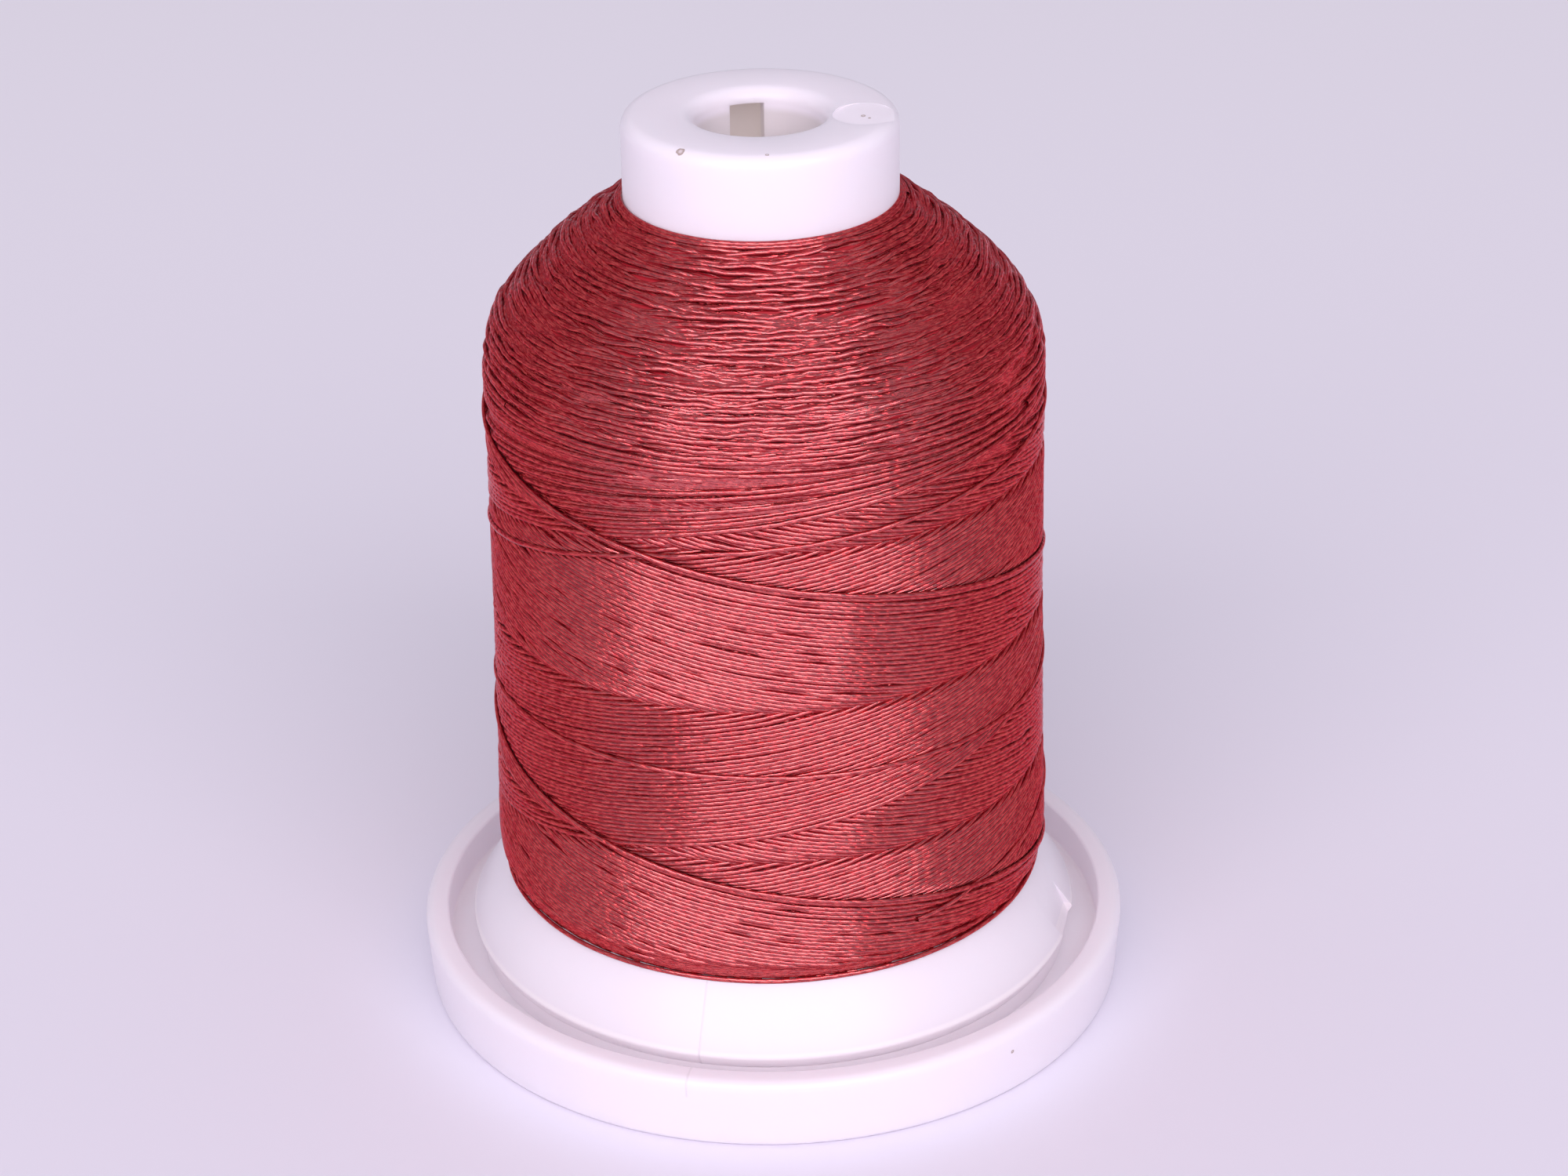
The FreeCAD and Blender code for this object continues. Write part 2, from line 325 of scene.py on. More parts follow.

# %% [markdown]
# ## White plastic
#
# The mouldings are a satin white plastic that lets a little light in. Its surface is not quite flat:
# a faint waviness and slightly duller places break up the gloss. A mould leaves a fine parting line on
# the flange and rim, and a few specks of dirt cling to it. Daylight comes through the thin wall into
# the hollow behind the hub's windows, and a weak glow there stands for it. The groove between flange
# and rim is painted paler, as painted light, and the hollow inside the hub and barrel darker, as
# painted shade.
#
# All of this could be painted on a picture, but that needs an unwrapped mesh. Masks worked out from
# the place on the piece, its radius, its direction and its height, do without one and stay sharp.

# %% Plastic finish
WHITE = (0.92, 0.87, 0.94, 1)
# Paler white in the groove is painted light; darker white in the hollow is painted shade.
GROOVE_PAINTED_LIGHT = (1.0, 0.95, 0.99, 1)
HOLLOW_PAINTED_SHADE = (0.76, 0.72, 0.73, 1)
PARTING_WHITE = (0.84, 0.80, 0.85, 1)
DIRT = (0.30, 0.20, 0.13, 1)
GLOW = (0.13, 0.11, 0.10, 1)
PARTING = -103.8


def speck(place, radius, direction, height, size):
    """A small speck with a darker edge at a place on a round part, and 0 elsewhere."""
    angle = math.radians(direction)
    spot = Vector((radius * math.cos(angle), radius * math.sin(angle), height)) * MM
    away = place.node("ShaderNodeVectorMath", 1, {"operation": "DISTANCE"}, _0=place, _1=spot) / MM
    away = away + place.noise(3000.0) * size * 0.6 - size * 0.3
    return (0.35 + away.step(size * 0.3, size * 0.8) * 0.5) * (1 - away.step(size * 0.75, size))


def parting_line(place, radius, low, high):
    """1 on the fine line that the two halves of the mould leave, between two heights in mm."""
    x, y, z = place.axes()
    angle = x.maths("ARCTAN2", y, x) * (180 / math.pi)
    off = abs(angle - PARTING) * (math.pi / 180) * radius
    soft = 0.0002
    line = (1 - off.step(0.03, 0.10)) * z.step(low * MM, low * MM + soft)
    return line * (1 - z.step(high * MM, high * MM + soft))


def plastic(name, parting_low, parting_high, specks):
    """White plastic with a parting line between two heights in mm, and a few specks."""
    material, shader, place = finish(name, IOR=1.49, Specular_IOR_Level=0.45, Subsurface_Weight=0.35,
                                     Subsurface_Scale=0.002, Subsurface_Radius=(1.0, 0.9, 0.9),
                                     Emission_Strength=1.0)
    x, y, z = place.axes()
    radius = x.maths("SQRT", x * x + y * y) / MM
    line = parting_line(place, radius, parting_low, parting_high)
    dirt = sum(speck(place, *values) for values in specks)
    # Painted light: the groove between flange and rim is painted paler. Painted shade: the hollow inside
    # the hub and barrel is painted darker. The hollow behind the hub's windows gets a weak painted glow.
    groove = radius.step(18.8, 19.2) * (1 - radius.step(21.4, 21.5)) * (1 - z.step(0.0046, 0.0048))
    hollow = (1 - radius.step(7.3, 7.4)) * (1 - z.step(0.0573, 0.0579))
    behind_windows = hollow * radius.step(4.9, 5.1) * z.step(0.040, 0.044)
    clean = hollow.mix(groove.mix(WHITE, GROOVE_PAINTED_LIGHT), HOLLOW_PAINTED_SHADE)
    relief = place.noise(120.0, 3.0) * 0.35 + place.noise(1900.0, 2.0) * 0.03 + line * 0.25
    feed(shader,
         Base_Color=dirt.mix(line.mix(clean, PARTING_WHITE), DIRT),
         Emission_Color=behind_windows.mix((0, 0, 0, 1), GLOW),
         Roughness=0.30 + place.noise(260.0, 3.0).step(0.4, 0.8) * 0.03,
         Normal=relief.bump(0.0001, 0.5))
    return material


print("plastic finish ready")

# %% [markdown]
# ## Snap base
#
# A shallow dish with an upturned rim. The body's flange stands on the raised ring in its middle, and
# the gap between flange and rim is the groove that holds the end of the thread. Under the flange a
# slit tube with four hooked fingers runs up into the body. Dish and tube are one moulding, but they
# are spun as two sections here, because only the tube is slit, and a boolean on a small closed piece
# is quicker and safer than one on the whole.

# %% Base: dish
PIN_HOLE, PIN_RING, PIN_RING_LOW = 4.2, 5.8, 0.4
FOOT_IN, FOOT_OUT = 19.064, 22.714
RIM_IN, RIM_OUT, RIM_TOP = 21.47, 23.05, 4.8
DISH_UNDER, DISH_TOP = 2.0, 2.4
SEAT_RING, SEAT = 19.3, 3.55

base = spun("snap_base_piece", [
    (PIN_HOLE, PIN_RING_LOW), (PIN_RING, PIN_RING_LOW), (PIN_RING, DISH_UNDER), (FOOT_IN, DISH_UNDER),
    (FOOT_IN, 0.0, 0.2), (FOOT_OUT, 0.0, 0.35), (RIM_OUT, RIM_TOP, 0.7), (RIM_IN, RIM_TOP, 0.2),
    (RIM_IN, DISH_TOP, 0.25), (SEAT_RING, DISH_TOP), (SEAT_RING, SEAT, 0.15), (PIN_HOLE, SEAT),
])
print("base faces:", len(base.data.polygons))

# %% Base: slit spigot with hooks
SPIGOT_IN, SPIGOT_OUT, SPIGOT_FOOT, SPIGOT_TOP = 5.32, 6.52, 3.3, 21.65
HOOK, HOOK_UNDER, HOOK_TOP, HOOK_TIP = 6.97, 19.05, 19.85, 6.17
SLIT, SLIT_MIDDLE = (16, 2, 16), 15.5
NOTCH_DIRECTION = -13.4


def finger_tube():
    """The tube that slides in the body, slit into four fingers. One slit faces the thread notch."""
    tube = spun("spigot_piece", [
        (SPIGOT_IN, SPIGOT_FOOT), (SPIGOT_OUT, SPIGOT_FOOT), (SPIGOT_OUT, HOOK_UNDER),
        (HOOK, HOOK_UNDER, 0.1), (HOOK, HOOK_TOP), (HOOK_TIP, SPIGOT_TOP, 0.2), (SPIGOT_IN, SPIGOT_TOP, 0.1),
    ])
    slits = [block(f"slit_{turn}", SLIT, (0, 0, SLIT_MIDDLE), turn * 90 + NOTCH_DIRECTION)
             for turn in range(2)]
    carve(tube, slits)
    return tube


spigot = finger_tube()
base_plastic = plastic("white base plastic", 3.4, 5.3, [(23.0, -50, 3.2, 0.16)])
for piece in (base, spigot):
    piece.data.materials.append(base_plastic)
    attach(piece, "base")
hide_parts("snap_base")
print("spigot faces:", len(spigot.data.polygons))

# %% [markdown]
# ## Spool body
#
# Collar, barrel, flange and the hub tube for the spool pin are one moulding, so they are one section
# too. The flange's wall is conical and slopes at 57 degrees. The hub tube has two windows, the collar
# a shallow round mark where the plastic came in, and the flange's lip a slanted notch that leads the
# thread down into the groove. Each of these is cut by a simple solid of its own, so its place and its
# tilt can be changed without touching the section.

# %% Body: turned wall
TOP, PIN_BORE = 58.9, 3.93
BARREL, BARREL_IN, BARREL_ROOF = 8.36, 7.26, 57.4
DECK, DECK_UNDER, DECK_EDGE, DECK_IN = 9.03, 7.73, 16.9, 16.19
LIP, LIP_FOOT, LIP_IN = (19.84, 4.45), 19.4, 18.87
SLEEVE, SLEEVE_LOW, LEDGE = 6.6, 3.9, 14.5
HUB, HUB_LOW = 5.08, 45.9
SLOPE = math.tan(math.radians(57.3))


def skirt_radius(height):
    """Outer radius of the flange at a height, in mm."""
    return LIP[0] - (height - LIP[1]) / SLOPE


body = spun("spool_body_piece", [
    (PIN_BORE, TOP, 0.85), (BARREL, TOP, 0.8), (BARREL, DECK), (DECK_EDGE, DECK, 0.4), (*LIP, 0.12),
    (LIP_FOOT, SEAT, 0.2), (LIP_IN, SEAT), (DECK_IN, DECK_UNDER), (BARREL, DECK_UNDER), (BARREL, SLEEVE_LOW),
    (SLEEVE, SLEEVE_LOW), (SLEEVE, LEDGE), (BARREL_IN, LEDGE), (BARREL_IN, BARREL_ROOF), (HUB, BARREL_ROOF),
    (HUB, HUB_LOW), (PIN_BORE, HUB_LOW),
])
print("body faces:", len(body.data.polygons))

# %% Body: hub windows and gate mark
WINDOW_DEEP, WINDOW_TALL, WINDOW_LOW, WINDOW_HALF_ANGLE = 4.0, 10.5, 47.5, 15.75
GATE, GATE_RADIUS, GATE_DEPTH = (6.2, -0.88), 1.9, 0.22


def hub_window(direction):
    """A block that cuts one window through the hub tube's wall."""
    wide = 2 * PIN_BORE * math.sin(math.radians(WINDOW_HALF_ANGLE))
    middle = (5.0, 0, WINDOW_LOW + WINDOW_TALL / 2)
    return block(f"window_{direction}", (WINDOW_DEEP, wide, WINDOW_TALL), middle, direction)


def gate_mark():
    """A tilted disc that cuts a mark into the collar's top, deepest at the front."""
    disc = bmesh.new()
    bmesh.ops.create_cone(disc, cap_ends=True, segments=96, depth=2 * MM,
                          radius1=GATE_RADIUS * MM, radius2=GATE_RADIUS * MM)
    bmesh.ops.translate(disc, vec=(0, 0, MM), verts=disc.verts)
    tilt = Matrix.Rotation(math.radians(-15), 3, "Z") @ Matrix.Rotation(math.radians(6.5), 3, "X")
    bmesh.ops.rotate(disc, cent=(0, 0, 0), matrix=tilt, verts=disc.verts)
    bmesh.ops.translate(disc, vec=Vector((*GATE, TOP - GATE_DEPTH)) * MM, verts=disc.verts)
    return piece_from("gate", disc)


print("windows and gate mark ready")

# %% Body: thread notch
NOTCH_HIGH, NOTCH_LOW, NOTCH_OUT = 6.6, 2.55, 20.84
NOTCH_WIDE, NOTCH_BITE, NOTCH_LEAN = 3.8, 0.6, 12


def thread_notch():
    """A slanting wedge that cuts the notch into the flange's lip."""
    top = skirt_radius(NOTCH_HIGH)
    flare = (LIP[0] - NOTCH_BITE - top) / (NOTCH_HIGH - LIP[1])
    outline = [(top, NOTCH_HIGH), (top + (NOTCH_HIGH - NOTCH_LOW) * flare, NOTCH_LOW), (NOTCH_OUT, NOTCH_LOW),
               (NOTCH_OUT, NOTCH_HIGH)]
    half = NOTCH_WIDE / 2 * MM
    wedge = bmesh.new()
    dots = [wedge.verts.new((radius * MM, -half, height * MM)) for radius, height in outline]
    face = wedge.faces.new(dots)
    grown = bmesh.ops.extrude_face_region(wedge, geom=[face])["geom"]
    far_side = [item for item in grown if isinstance(item, bmesh.types.BMVert)]
    bmesh.ops.translate(wedge, vec=(0, NOTCH_WIDE * MM, 0), verts=far_side)
    middle = (dots[0].co + dots[1].co) / 2 + Vector((0, half, 0))
    skew = Matrix.Rotation(math.radians(NOTCH_LEAN), 3, Vector((1, 0, flare)))
    bmesh.ops.rotate(wedge, cent=middle, matrix=skew, verts=wedge.verts)
    turn = Matrix.Rotation(math.radians(NOTCH_DIRECTION), 3, "Z")
    bmesh.ops.rotate(wedge, cent=(0, 0, 0), matrix=turn, verts=wedge.verts)
    bmesh.ops.recalc_face_normals(wedge, faces=wedge.faces)
    return piece_from("notch", wedge)


carve(body, [hub_window(101.8), hub_window(281.8), gate_mark(), thread_notch()])
body.data.materials.append(plastic("white body plastic", 3.5, 8.5, [
    (7.99, -125.4, 58.79, 0.30), (7.65, -87, 58.89, 0.13), (6.2, -6.5, 58.75, 0.16), (6.6, -9.0, 58.74, 0.12),
    (19.0, -88, 5.0, 0.12),
]))
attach(body, "spool")
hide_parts("spool_body")
print("body faces after carving:", len(body.data.polygons))

# %% [markdown]
# ## The winding: its profile
#
# The wound package is a hollow-sided drum with a rounded shoulder that runs up to the collar. Its
# outline is one row of points from the foot to the collar, made of arcs. Strands spaced by their height
# would lie too far apart on the cone, so places are measured along the outline: each is a distance
# along it and an angle round the axis.

# %% Profile of the winding
STRAND, WIDE, HIGH = 0.27, 0.335, 0.25
PITCH = 0.272
DRUM_LOW, DRUM_HIGH = (17.84, 11.1), (17.33, 43.4)
SHOULDER, SHOULDER_RADIUS = (10.83, 43.4), 6.5


def arc(start, middle, end, count):
    """Points on the circle through three points, from the first to the last."""
    a, b, c = (np.array(p) for p in (start, middle, end))
    centre = np.linalg.solve(2 * np.array([b - a, c - a]), [b @ b - a @ a, c @ c - a @ a])
    first, last = (math.atan2(*(p - centre)[::-1]) for p in (a, c))
    swing = (last - first + math.pi) % math.tau - math.pi
    angles = first + swing * np.linspace(0, 1, count)
    return centre + np.linalg.norm(a - centre) * np.stack([np.cos(angles), np.sin(angles)], axis=1)


def winding_profile():
    """The outline's points: foot, hollow side, rounded shoulder and the cone up to the collar."""
    heel = arc((17.41, 8.24), (17.70, 9.62), DRUM_LOW, 12)
    side = arc(DRUM_LOW, (17.45, 27.25), DRUM_HIGH, 60)
    turn = np.radians(np.linspace(0, 45, 20))
    shoulder = np.stack([SHOULDER[0] + SHOULDER_RADIUS * np.cos(turn),
                         SHOULDER[1] + SHOULDER_RADIUS * np.sin(turn)], axis=1)
    crown = arc(shoulder[-1], (12.17, 51.20), (8.40, 53.9), 30)
    return np.concatenate([heel[:-1], side[:-1], shoulder[:-1], crown])


profile = winding_profile()
reach = np.concatenate([[0], np.cumsum(np.hypot(*np.diff(profile, axis=0).T))])


def radius_at(distance):
    """Radius in mm at a distance along the outline."""
    return np.interp(distance, reach, profile[:, 0])


def height_at(distance):
    """Height in mm at a distance along the outline."""
    return np.interp(distance, reach, profile[:, 1])


def distance_of(height):
    """Distance along the outline at which it has a height in mm."""
    return float(np.interp(height, profile[:, 1], reach))


print(f"outline of the winding: {reach[-1]:.1f} mm long")

# %% [markdown]
# ## The winding: laying the thread
#
# A winding machine guides the thread up and down while the spool turns, so the thread lies in steep
# crossing turns, about 20 mm of rise in each. Every pass lies beside the one before, and a newer pass
# covers older ones, which makes the long slanting fields that are seen on the drum. The guide's stroke
# gets shorter as the package grows: its turning places build the shoulder, in nearly level turns.
#
# Laid in the order of the machine, small errors pile up and the drum grows lumps. So we lay the thread
# from the outside in. The newest pass goes on first, at the surface. Every older one takes the highest
# room that is left under the passes already there, and a taut thread can only dip slowly.

# %% Maps of the room that is left
CELL = 0.03
ROWS, COLUMNS = int(reach[-1] / CELL) + 1, 1100
under = np.full((ROWS, COLUMNS), 9.0, np.float32)
over = np.full((ROWS, COLUMNS), -9.0, np.float32)
chance = np.random.default_rng(7)
SAMPLE = 0.05
DIP, DEEPEST = 0.12, -0.24
NEST, CLEAR = 0.05, 0.004


def cells(distance, angle):
    """Row and column of places on the package."""
    row = np.clip(np.rint(distance / CELL).astype(int), 0, ROWS - 1)
    column = np.floor(angle / math.tau * COLUMNS).astype(int) % COLUMNS
    return row, column


def eased(values, width):
    """Values smoothed along their row."""
    weight = np.hanning(width + 2)[1:-1]
    padded = np.pad(values, (width // 2, width - 1 - width // 2), mode="edge")
    return np.convolve(padded, weight / weight.sum(), mode="valid")


def taut(height):
    """The highest line that stays under the given one and never dips or climbs faster than DIP."""
    climb = np.arange(len(height)) * SAMPLE * DIP
    height = np.minimum.accumulate(height - climb) + climb
    return (np.minimum.accumulate((height + climb)[::-1]))[::-1] - climb


print("maps:", under.shape)

# %% Lay one pass under the others
def section(half_width, count):
    """Places across a strand, and how far its round surface stands off its middle there."""
    across = np.linspace(-half_width, half_width, count)
    return across, np.sqrt((STRAND / 2) ** 2 - across ** 2)


def lay(distance, angle, level):
    """Lay one pass under those already there. Returns the height of its middle, and where it shows."""
    lean = np.arctan2(np.gradient(distance), radius_at(distance) * np.gradient(angle))[:, None]

    def beside(offsets):
        return cells(distance[:, None] + offsets * np.cos(lean),
                     angle[:, None] - offsets * np.sin(lean) / radius_at(distance)[:, None])

    across, bow = section(0.06, 5)
    room = (under[beside(across)] - bow).min(axis=1) + NEST
    height = eased(taut(np.clip(room, DEEPEST, level)), 15)
    across, bow = section(0.12, 9)
    shows = (height[:, None] + bow > over[beside(across)] + CLEAR).sum(axis=1) > 1
    across, bow = section(0.132, 11)
    spot = beside(across)
    under[spot] = np.minimum(under[spot], height[:, None] - bow)
    over[spot] = np.maximum(over[spot], height[:, None] + bow)
    return height, np.convolve(shows, np.ones(17), "same") > 0


print("a strand stands off its middle by", round(float(section(0.06, 5)[1].max()), 3), "mm")

# %% Strokes of the guide
RISE = 20.8
EASE_LOW, EASE_HIGH = 1.8, 3.9
KNOTS = np.arange(0, reach[-1] + 2, 2.2)


def stroke(low, high, ease_low, ease_high):
    """Distance and turn, from one turning place to the other, slower within each ease."""
    share = (1 - np.cos(np.linspace(0, math.pi, 3000))) / 2
    distance = low + (high - low) * share
    slow = np.sqrt(np.clip((high - distance) / ease_high, 0, 1) * np.clip((distance - low) / ease_low, 0, 1))
    pace = np.maximum(RISE * (slow[1:] + slow[:-1]) / 2, 0.4)
    turn = np.concatenate([[0], np.cumsum(np.diff(distance) / pace)]) * math.tau
    return distance, turn


def sampled(distance, angle):
    """The same path with a point every so many millimetres."""
    run = np.hypot(np.diff(distance), radius_at((distance[1:] + distance[:-1]) / 2) * np.diff(angle))
    length = np.concatenate([[0], np.cumsum(np.abs(run))])
    places = np.arange(0, length[-1], SAMPLE)
    return np.interp(places, length, distance), np.interp(places, length, angle)


full_turn = stroke(0, reach[-1], EASE_LOW, EASE_HIGH)[1][-1]
print(f"a stroke over the whole outline turns {full_turn / math.tau:.1f} times")

# %% Families of passes, and how a pass wanders
class Family:
    """Passes that lie side by side. They lie close, in small groups, and each wanders a little."""

    LOOSE_SHARE, LOOSE_STEP, CLOSE_STEP = 0.15, PITCH + 0.025, PITCH - 0.005

    def __init__(self, count, gaps):
        step = np.where(chance.random(count) < self.LOOSE_SHARE, self.LOOSE_STEP, self.CLOSE_STEP)
        for number, gap in gaps.items():
            step[number] += gap
        self.ages = np.cumsum(step) - step[0]
        self.drift = np.zeros(len(KNOTS))

    def shifted(self, distance):
        """The next pass, moved by a drift that it shares in part with the one before."""
        self.drift = 0.8 * self.drift + chance.normal(0, 0.009, len(KNOTS))
        return distance + np.interp(distance, KNOTS, self.drift)


def wander(count, amount, every=1.3):
    """Smooth sideways wander along a thread, with a knot every so many millimetres."""
    knots = np.arange(0, count * SAMPLE + 2 * every, every)
    line = np.interp(np.arange(count) * SAMPLE, knots, chance.normal(0, amount, len(knots)))
    return eased(line, int(every / SAMPLE))


passes = []


def add_pass(distance, angle, level, family=None, loose=0.017, rough=0.012):
    """Lay a path as a pass, with its family's drift and a wander of its own, and keep it."""
    distance, angle = sampled(distance, angle)
    if family:
        distance = family.shifted(distance)
    distance = distance + wander(len(distance), loose) + wander(len(distance), loose / 2, 0.6)
    distance = np.clip(distance, 0.1, reach[-1] - 0.02)
    level = level + wander(len(distance), rough, 3.0)
    passes.append((distance, angle, *lay(distance, angle, level)))


print("places at which a family's drift is set:", len(KNOTS))

# %% Last turns and level arcs
LAST_LEVEL = 0.13


def wind_last_turns():
    """The last upward pass: one level turn near mid-height, then up to its turning place."""
    turns = [(-420, 11.6), (-300, 16.6), (-215, 21.0), (-190, 21.9), (-168, 22.6), (-150, 23.0), (-100, 23.1),
             (-60, 22.95), (-25, 22.75), (-5, 23.1), (30, 24.9), (100, 28.8), (160, 32.0), (192, 33.6),
             (210, 34.75), (230, 36.2), (245, 37.2), (260, 37.85), (290, 38.75), (310, 39.3), (330, 40.0),
             (346, 40.6), (380, 41.4), (430, 41.8), (470, 41.7)]
    angle, height = np.array(turns, float).T
    fine = np.arange(angle[0], angle[-1], 0.25)
    distance = eased(np.interp(fine, angle, np.interp(height, profile[:, 1], reach)), 61)
    add_pass(distance, np.radians(fine), LAST_LEVEL)


def level_arc(start, end, first, last):
    """A level arc between two turning places, from one angle on to the next angle like the other."""
    swing = (last - first) % math.tau
    angle = first + np.linspace(0, swing, int(swing * 100) + 3)
    share = (angle - first) / max(swing, 1e-6)
    return start + (end - start) * share, angle


def joined(lead, distance, angle):
    """A stroke with a level arc before it, turned so that the two meet."""
    return (np.concatenate([lead[0][:-1], distance]),
            np.concatenate([lead[1][:-1] - lead[1][-1] + angle[0], angle]))


print("level arcs ready")

# %% Crossing passes on the drum
FALLING_MIDDLE, RISING_MIDDLE = 35.75, 19.1
TURNS_TOP, TURNS_LOW = 44.2, 41.8
FIRST_LEVEL = 0.16


def wind_drum(count):
    """Crossing passes over the whole drum, newest first.

    The machine's turn ratio moves the pattern a little further round with every double stroke. So at
    any one place the falling passes climb with time, and the rising ones sink. Level arcs join each
    falling pass to the rising ones before and after it.
    """
    middle = distance_of(27.25)
    top, low = distance_of(TURNS_TOP), distance_of(TURNS_LOW)
    falling = Family(count, {2: 0.04, 5: 0.06})
    rising = Family(count, {28: 0.08, 13: 0.04, 44: 0.05, 48: 0.06, 52: 0.05, 56: 0.05})
    turning = [(0.28 + abs(chance.normal(0, 0.12)),
                low + (top - low) * number / count + chance.normal(0, 0.22))
               for number in range(count + 1)]

    def crossing(number, place, way):
        """One stroke through a place at mid-height, in its order of distance."""
        distance, angle = stroke(*turning[number], EASE_LOW, EASE_HIGH)
        facing = -math.pi / 2 + way * (place - middle) / RISE * math.tau
        return distance, facing - way * (angle - np.interp(middle, distance, angle))

    for number in range(count):
        distance, angle = crossing(number, distance_of(FALLING_MIDDLE) - falling.ages[number], 1)
        up, up_angle = crossing(number, distance_of(RISING_MIDDLE) + rising.ages[number], -1)
        over_top = level_arc(up[-1], distance[-1], up_angle[-1], angle[-1])
        level = FIRST_LEVEL if number == 0 else 0.0
        add_pass(*joined(over_top, distance[::-1], angle[::-1]), level, falling)
        if number == 0:
            wind_last_turns()
        older = min(number + 1, count - 1)
        before, before_angle = crossing(number + 1, distance_of(FALLING_MIDDLE) - falling.ages[older], 1)
        below = level_arc(before[0], up[0], before_angle[0], up_angle[0])
        add_pass(*joined(below, up, up_angle), 0.0, rising)


print("drum ready to wind")

# %% Shoulder and edges, and the whole winding
SHOULDER_START, SHOULDER_STEP = 42.2, 0.05
GOLDEN = 137.5


def wind_shoulder():
    """Turning places of the older passes, from the lowest up to the collar."""
    turn = 0.0
    high = distance_of(SHOULDER_START)
    while high < reach[-1] - 0.2:
        turn -= (GOLDEN + chance.normal(0, 12)) / 360 * math.tau
        distance, angle = stroke(high - 3.5, high + chance.normal(0, 0.04), 0.01, 5.5)
        distance = np.concatenate([distance, distance[-2::-1]])
        angle = turn + np.concatenate([angle, 2 * angle[-1] - angle[-2::-1]])
        distance = distance + 0.1 * np.sin(angle * 3 + chance.uniform(0, math.tau))
        add_pass(distance, angle, 0.0, loose=0.06, rough=0.06)
        high += SHOULDER_STEP


def wind_edge(first, turns):
    """Level turns that close the winding at one of its ends."""
    angle = np.arange(0, turns * math.tau, 0.01)
    add_pass(first + angle / math.tau * 0.25, angle, 0.0, loose=0.006)


wind_edge(first=0.14, turns=1.3)
wind_edge(first=reach[-1] - 0.58, turns=2.1)
wind_drum(count=78)
wind_shoulder()
wind_edge(first=reach[-1] - 1.15, turns=4.3)
laid_length = sum(len(distance) for distance, *rest in passes) * SAMPLE * MM
print("passes:", len(passes), "thread laid in m:", round(laid_length, 1))

# %% [markdown]
# ## The winding: from passes to strands
#
# Only the stretches that still show are kept. Their middle lines get their place in space from the
# outline. A tube could be built ring by ring, but a bevelled curve does that by itself, and its mesh
# then only needs to be pressed a little flat, as taut thread is on a package. Strands are gathered
# into a few pieces, each small enough to be handled well.

# %% Keep what shows
def stretches(kept, shortest):
    """Start and end of every run of True that is long enough."""
    change = np.flatnonzero(np.diff(np.concatenate([[0], kept.astype(int), [0]])))
    return [(a, b) for a, b in zip(change[::2], change[1::2]) if b - a >= shortest]


slope_r, slope_z = np.gradient(profile[:, 0], reach), np.gradient(profile[:, 1], reach)
STRIDE = 6
strands = []
for number, (distance, angle, height, shows) in enumerate(passes):
    tilt_r, tilt_z = np.interp(distance, reach, slope_z), -np.interp(distance, reach, slope_r)
    outward = np.stack([tilt_r * np.cos(angle), tilt_r * np.sin(angle), tilt_z], 1)
    radius = radius_at(distance)
    points = np.stack([radius * np.cos(angle), radius * np.sin(angle), height_at(distance)], 1)
    points = points + outward * (height - HIGH / 2)[:, None]
    for first, last in stretches(shows, 3 * STRIDE):
        strands.append((points[first:last:STRIDE], outward[first:last:STRIDE], first * SAMPLE, number))
shown_length = sum(len(points) for points, *rest in strands) * STRIDE * SAMPLE * MM
print("strands:", len(strands), "length in m:", round(shown_length, 1))
print("share of the map covered:", round(float((over > -8).mean()), 4))

# %% Strands from bevelled curves, pressed a little flat
SIDES = 6
MOST_TRIANGLES = 190000


def strand_piece(name, group):
    """One piece from a group of strands. Its attributes tell where on the thread a point is."""
    line = bpy.data.curves.new(name, "CURVE")
    line.dimensions = "3D"
    line.bevel_depth = STRAND / 2 * MM
    line.bevel_resolution = (SIDES - 4) // 2
    for points, outward, start, number in group:
        spline = line.splines.new("POLY")
        spline.points.add(len(points) - 1)
        spline.points.foreach_set("co", np.concatenate([points * MM, np.ones((len(points), 1))], 1).ravel())
    holder = bpy.data.objects.new(name, line)
    mesh = bpy.data.meshes.new_from_object(holder)
    bpy.data.objects.remove(holder)
    middle = np.concatenate([points for points, *rest in group]).repeat(SIDES, axis=0)
    out = np.concatenate([outward for points, outward, *rest in group]).repeat(SIDES, axis=0)
    along = np.concatenate([start + np.arange(len(points)) * STRIDE * SAMPLE + twist_start[number]
                            for points, outward, start, number in group]).repeat(SIDES)
    tones = np.concatenate([np.full(len(points), tone[number]) for points, outward, start, number in group])
    place = np.empty(len(mesh.vertices) * 3, np.float32)
    mesh.vertices.foreach_get("co", place)
    offset = place.reshape(-1, 3) / MM - middle
    rise = (offset * out).sum(axis=1)
    aside = offset - rise[:, None] * out
    side = np.linalg.norm(aside, axis=1) * np.where(aside[:, 2] < 0, -1, 1)
    place = middle + aside * WIDE / STRAND + out * (rise * HIGH / STRAND)[:, None]
    mesh.vertices.foreach_set("co", (place * MM).astype(np.float32).ravel())
    laid = np.stack([rise / (STRAND / 2), side / (STRAND / 2), along], 1).astype(np.float32)
    mesh.attributes.new("lay", "FLOAT_VECTOR", "POINT").data.foreach_set("vector", laid.ravel())
    tones = tones.repeat(SIDES).astype(np.float32)
    mesh.attributes.new("tone", "FLOAT", "POINT").data.foreach_set("value", tones)
    mesh.shade_smooth()
    piece = bpy.data.objects.new(name, mesh)
    bpy.context.scene.collection.objects.link(piece)
    return piece


tone = chance.normal(0, 1, len(passes))
twist_start = chance.uniform(0, 20, len(passes))
groups = [[]]
for strand in strands:
    if sum(len(points) for points, *rest in groups[-1]) > MOST_TRIANGLES / SIDES / 2:
        groups.append([])
    groups[-1].append(strand)
winding = [strand_piece(f"thread_strands_{place + 1}", group) for place, group in enumerate(groups)]
print("strand pieces:", [(piece.name, len(piece.data.polygons)) for piece in winding])
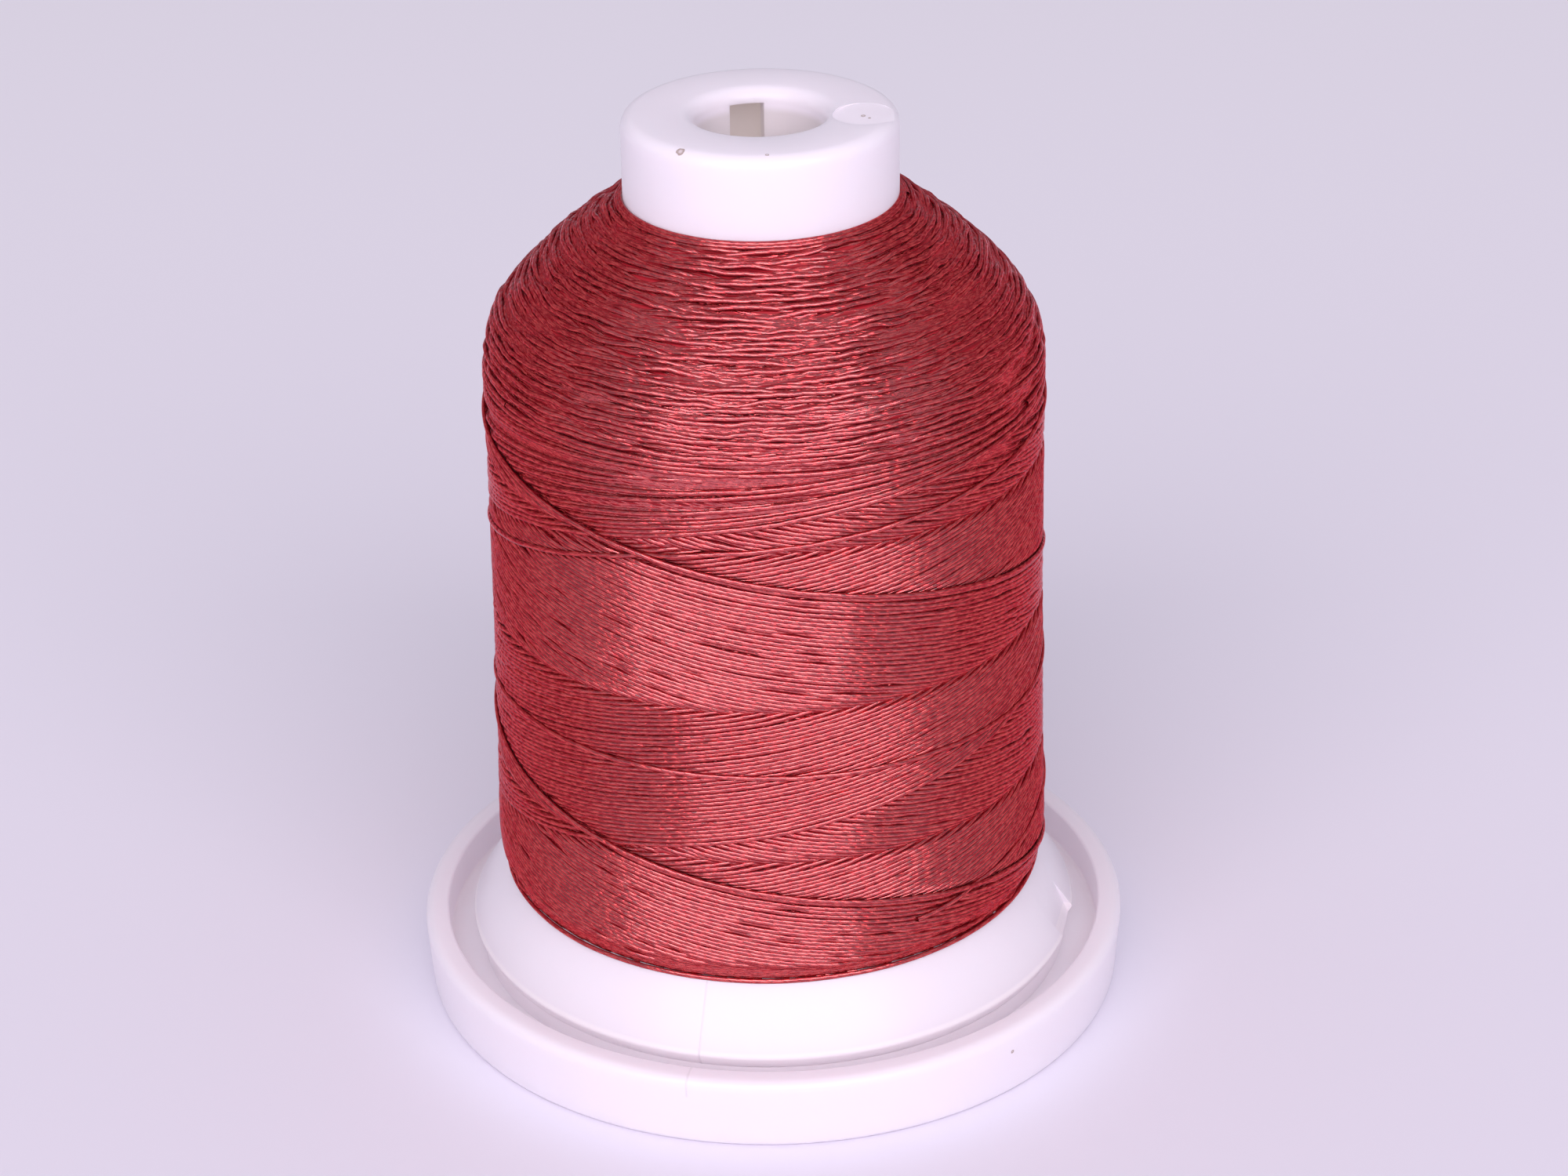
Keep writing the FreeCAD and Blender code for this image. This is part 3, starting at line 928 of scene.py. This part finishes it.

# %% [markdown]
# ## Thread finish
#
# The thread is two twisted plies of shiny filament. Its gloss is red rather than white, because light
# runs through the coloured filaments, so the finish is partly metallic. A clear coat adds the paler
# shine of the filaments' skin. Layer Weight makes it strongest where one looks square on, and lets it
# fade at the sides. The twist could be modelled as two thin tubes, at several times the faces. Drawn
# by a wave it costs none: the attributes that we kept tell how far along the thread a point is and
# where round it, which is all that the wave needs.

# %% Thread finish
# The thread's red on the side that faces the lamp, a darker copy as painted shade on its other side and
# between strands, and a paler red for flecks that are partly the filaments' own uneven tone and partly
# painted glints.
PAINTED_SHADE_RED = (0.25, 0.003, 0.010, 1)
FULL_RED = (0.50, 0.022, 0.032, 1)
FLECK_AND_GLINT_RED = (0.82, 0.094, 0.088, 1)
PLY_LENGTH = 0.85


def thread(name):
    """Red two-ply thread, with painted light along the top of each ply and painted shade between strands."""
    material, shader, place = finish(name, Coat_Roughness=0.16, Coat_IOR=2.2,
                                     Specular_Tint=(1.0, 0.4, 0.45, 1), Sheen_Weight=0.03,
                                     Sheen_Roughness=0.35, Sheen_Tint=(1.0, 0.8, 0.95, 1))
    laid = place.node("ShaderNodeAttribute", 1, {"attribute_name": "lay"})
    shade = place.node("ShaderNodeAttribute", 2, {"attribute_name": "tone"})
    rise, side, along = laid.axes()
    turn = rise.maths("ARCTAN2", side, rise) + along * (math.pi / PLY_LENGTH) + place.noise(500.0, 1.0) * 3.0
    ply = abs(turn.maths("SINE", turn))
    # Paler flecks along the thread: partly the filaments' own uneven tone, partly painted glints.
    fleck_place = rise.node("ShaderNodeCombineXYZ",
                            _0=along * 2.2 + rise * 0.6, _1=side * 1.3, _2=shade * 40.0)
    fleck = fleck_place.noise(1.0, 1.0).step(0.38, 0.64)
    grain = place.noise(7000.0, 1.0)
    # Painted light and shade: strands on the drum are painted lighter on their upper side, and those on the
    # cone on their lower one, the side that faces the lamp. Their other side, the gaps between strands and
    # the crevices between the plies are painted darker, and are less glossy.
    upward = 0.45 - place.axes()[2].step(0.041, 0.049) * 0.65
    top = (rise * 0.9 + side * upward).step(0.20, 0.80) * (0.62 + ply.step(0.05, 0.5) * 0.38)
    square_on = 1 - place.node("ShaderNodeLayerWeight", 1, Blend=0.5).step(0.14, 0.36)
    feed(shader,
         Base_Color=top.mix(PAINTED_SHADE_RED, fleck.mix(FULL_RED, FLECK_AND_GLINT_RED)),
         Roughness=0.13 + grain * 0.10 + shade * 0.01,
         Metallic=top,
         Coat_Weight=top * (square_on * 0.58 + 0.10),
         Normal=(ply * 0.8 + fleck * 0.35 + grain * 0.15).bump(0.00004, 0.6))
    return material


thread_finish = thread("red thread")
for piece in winding:
    piece.data.materials.append(thread_finish)
    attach(piece, "spool")
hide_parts("thread_turns")
print("thread finish ready")

# %% [markdown]
# ## Under the outer strands
#
# Between the strands one looks onto older turns. Laying all of them would take many times the strands
# that show, so a plain drum just under the surface stands for them. It is painted in the thread's
# darkest red, as painted shade between the strands, with fine level ribs in its finish whose grooves
# are painted darker still.

# %% Package under the strands
# Darker reds than the strands: painted shade between them, darkest in the grooves of the ribs.
UNDER_SHADE_RED = (0.30, 0.002, 0.010, 1)
UNDER_SHADE_PALE = (0.45, 0.008, 0.020, 1)
PACKAGE_IN, PACKAGE_TOP, PACKAGE_GAP = 8.44, 52.8, 0.08


def package_piece():
    """The older turns as one solid, a strand's depth under the outline and just clear of the body."""
    depth = STRAND * 0.95
    foot = DECK + PACKAGE_GAP
    outline = [(r - depth * nr, z + depth * nz) for (r, z), nr, nz in zip(profile, slope_z, slope_r)]
    outline = [(r, z) for r, z in outline if z > foot + 0.1]
    outline = [(PACKAGE_IN, foot), (skirt_radius(foot) + PACKAGE_GAP, foot), *outline[::2],
               (PACKAGE_IN, PACKAGE_TOP)]
    shape = bmesh.new()
    revolve(shape, outline, 160)
    bmesh.ops.recalc_face_normals(shape, faces=shape.faces)
    return piece_from("thread_package", shape)


package_inside = package_piece()
inner, inner_shader, inner_place = finish("thread beneath", Roughness=0.6, Metallic=0.2)
upright = inner_place.axes()[2]
ribs = upright.maths("SINE", upright * (math.tau / (PITCH * MM))) * 0.5 + 0.5
feed(inner_shader,
     Base_Color=ribs.mix(UNDER_SHADE_RED, UNDER_SHADE_PALE),
     Normal=ribs.bump(0.00008, 0.8))
package_inside.data.materials.append(inner)
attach(package_inside, "spool")
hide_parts("thread_core")
print("package faces:", len(package_inside.data.polygons))
